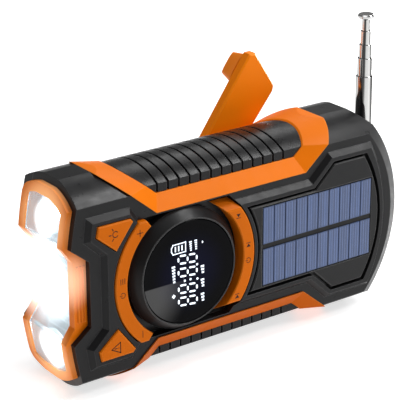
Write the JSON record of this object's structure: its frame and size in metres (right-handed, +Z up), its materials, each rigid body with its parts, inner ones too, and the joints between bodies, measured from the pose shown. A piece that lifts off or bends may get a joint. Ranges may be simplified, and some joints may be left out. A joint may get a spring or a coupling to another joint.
{
  "type": "hand crank phone charger",
  "caption": "Hand-cranked emergency charger and radio with twin lamps, round display, solar panel, ribbed grips, telescopic antenna and a crank arm on the back.",
  "frame": {"origin": "centre of the whole object's box at its base, on the ground it stands on", "axes": "+X along the body from the lamp end to the antenna end, -Y out of the front face with the display, +Z up along the raised antenna"},
  "size_m": [0.165, 0.0622, 0.1231],
  "materials": {
    "black_housing": "fine satin texture",
    "black_grip": "soft satin",
    "black_trim": "satin",
    "orange_plastic": "fine satin texture",
    "orange_crank": "fine satin texture",
    "clear_lens": "polished",
    "reflector": "polished",
    "lamp_chip": "warm white, lit",
    "display_cover": "polished, dark",
    "display_cell": "dark",
    "solar_cell": "blue silicon under a clear coat",
    "green_board": "solder mask",
    "white_board": "white solder mask",
    "black_switch": "moulded",
    "cell_wrap": "shrink wrap",
    "grey_plastic": "moulded",
    "white_gear": "moulded",
    "speaker_black": "satin",
    "steel": "turned",
    "dark_steel": "blackened",
    "magnet": "plated",
    "bearing_brass": "turned",
    "antenna_chrome": "polished",
    "black_rubber": "matte"
  },
  "bodies": {
    "housing": {"front_shell": "black_housing", "rear_cover": "black_housing", "top_trim": "orange_plastic", "bottom_trim": "orange_plastic", "top_grip": "black_grip", "bottom_grip": "black_grip", "lamp_bezel": "orange_plastic", "lamp_lens": "clear_lens", "lamp_board": "white_board", "lamp_leds": "lamp_chip", "upper_reflector": "reflector", "lower_reflector": "reflector", "display_ring": "black_trim", "display_glass": "display_cover", "display_module": "display_cell", "key_switches": "black_switch", "solar_frame": "black_trim", "solar_board": "black_switch", "solar_cells": "solar_cell", "main_board": "green_board", "battery": "cell_wrap", "battery_cradle": "grey_plastic", "speaker": "speaker_black", "gearbox_plate": "grey_plastic", "idler_pin": "steel", "generator_case": "steel", "crank_bush": "bearing_brass", "case_screws": "dark_steel", "board_screws": "steel", "gearbox_screws": "steel", "antenna_pin": "steel", "charging_ports": "steel"},
    "lamp_button": {"lamp_button": "orange_plastic"},
    "alarm_button": {"alarm_button": "orange_plastic"},
    "left_arc_key": {"left_arc_key": "orange_plastic"},
    "right_arc_key": {"right_arc_key": "orange_plastic"},
    "crank": {"crank_arm": "orange_crank", "crank_screw": "dark_steel", "crank_shaft": "steel", "drive_gear": "white_gear", "knob_pin": "dark_steel"},
    "knob": {"crank_knob": "orange_crank"},
    "idler": {"idler_gear": "white_gear"},
    "rotor": {"generator_rotor": "magnet", "generator_pinion": "bearing_brass"},
    "antenna_base": {"antenna_knuckle": "antenna_chrome", "antenna_tube_1": "antenna_chrome"},
    "antenna_stage_2": {"antenna_tube_2": "antenna_chrome"},
    "antenna_stage_3": {"antenna_tube_3": "antenna_chrome"},
    "antenna_stage_4": {"antenna_tube_4": "antenna_chrome"},
    "antenna_stage_5": {"antenna_tube_5": "antenna_chrome", "antenna_tip": "antenna_chrome"},
    "port_cover": {"port_cover": "black_rubber"}
  },
  "joints": [
    {"name": "lamp_button_press", "type": "slide", "parent": "housing", "child": "lamp_button", "axis": [0, 1, 0], "range_m": [0, 0.0008], "stiffness_N_per_m": 800},
    {"name": "alarm_button_press", "type": "slide", "parent": "housing", "child": "alarm_button", "axis": [0, 1, 0], "range_m": [0, 0.0008], "stiffness_N_per_m": 800},
    {"name": "left_arc_key_press", "type": "slide", "parent": "housing", "child": "left_arc_key", "axis": [0, 1, 0], "range_m": [0, 0.0006], "stiffness_N_per_m": 1500},
    {"name": "right_arc_key_press", "type": "slide", "parent": "housing", "child": "right_arc_key", "axis": [0, 1, 0], "range_m": [0, 0.0006], "stiffness_N_per_m": 1500},
    {"name": "crank_turn", "type": "hinge", "parent": "housing", "child": "crank", "pos_m": [-0.0015, 0.0136, 0.0423], "axis": [0, 1, 0], "continuous": true},
    {"name": "knob_spin", "type": "hinge", "parent": "crank", "child": "knob", "pos_m": [0.03898, 0.0256, 0.09544], "axis": [0, 1, 0], "continuous": true},
    {"name": "idler_turn", "type": "hinge", "parent": "housing", "child": "idler", "pos_m": [0.023, 0.0056, 0.0423], "axis": [0, 1, 0], "continuous": true},
    {"name": "rotor_turn", "type": "hinge", "parent": "housing", "child": "rotor", "pos_m": [0.0426, -0.0064, 0.0423], "axis": [0, 1, 0], "continuous": true},
    {"name": "antenna_tilt", "type": "hinge", "parent": "housing", "child": "antenna_base", "pos_m": [0.0757, -0.0099, 0.0363], "axis": [0, 1, 0], "range_deg": [0, 90]},
    {"name": "antenna_slide_2", "type": "slide", "parent": "antenna_base", "child": "antenna_stage_2", "axis": [0, 0, 1], "range_m": [-0.0076, 0.035]},
    {"name": "antenna_slide_3", "type": "slide", "parent": "antenna_stage_2", "child": "antenna_stage_3", "axis": [0, 0, 1], "range_m": [-0.006, 0.036]},
    {"name": "antenna_slide_4", "type": "slide", "parent": "antenna_stage_3", "child": "antenna_stage_4", "axis": [0, 0, 1], "range_m": [-0.0051, 0.036]},
    {"name": "antenna_slide_5", "type": "slide", "parent": "antenna_stage_4", "child": "antenna_stage_5", "axis": [0, 0, 1], "range_m": [-0.0036, 0.034]},
    {"name": "port_cover_lift", "type": "hinge", "parent": "housing", "child": "port_cover", "pos_m": [0.0717, -0.0099, 0.0083], "axis": [0, 1, 0], "range_deg": [0, 80], "stiffness_Nm_per_rad": 0.002}
  ],
  "couplings": [
    {"joint": "idler_turn", "follows": "crank_turn", "ratio": -4},
    {"joint": "rotor_turn", "follows": "crank_turn", "ratio": 12}
  ]
}
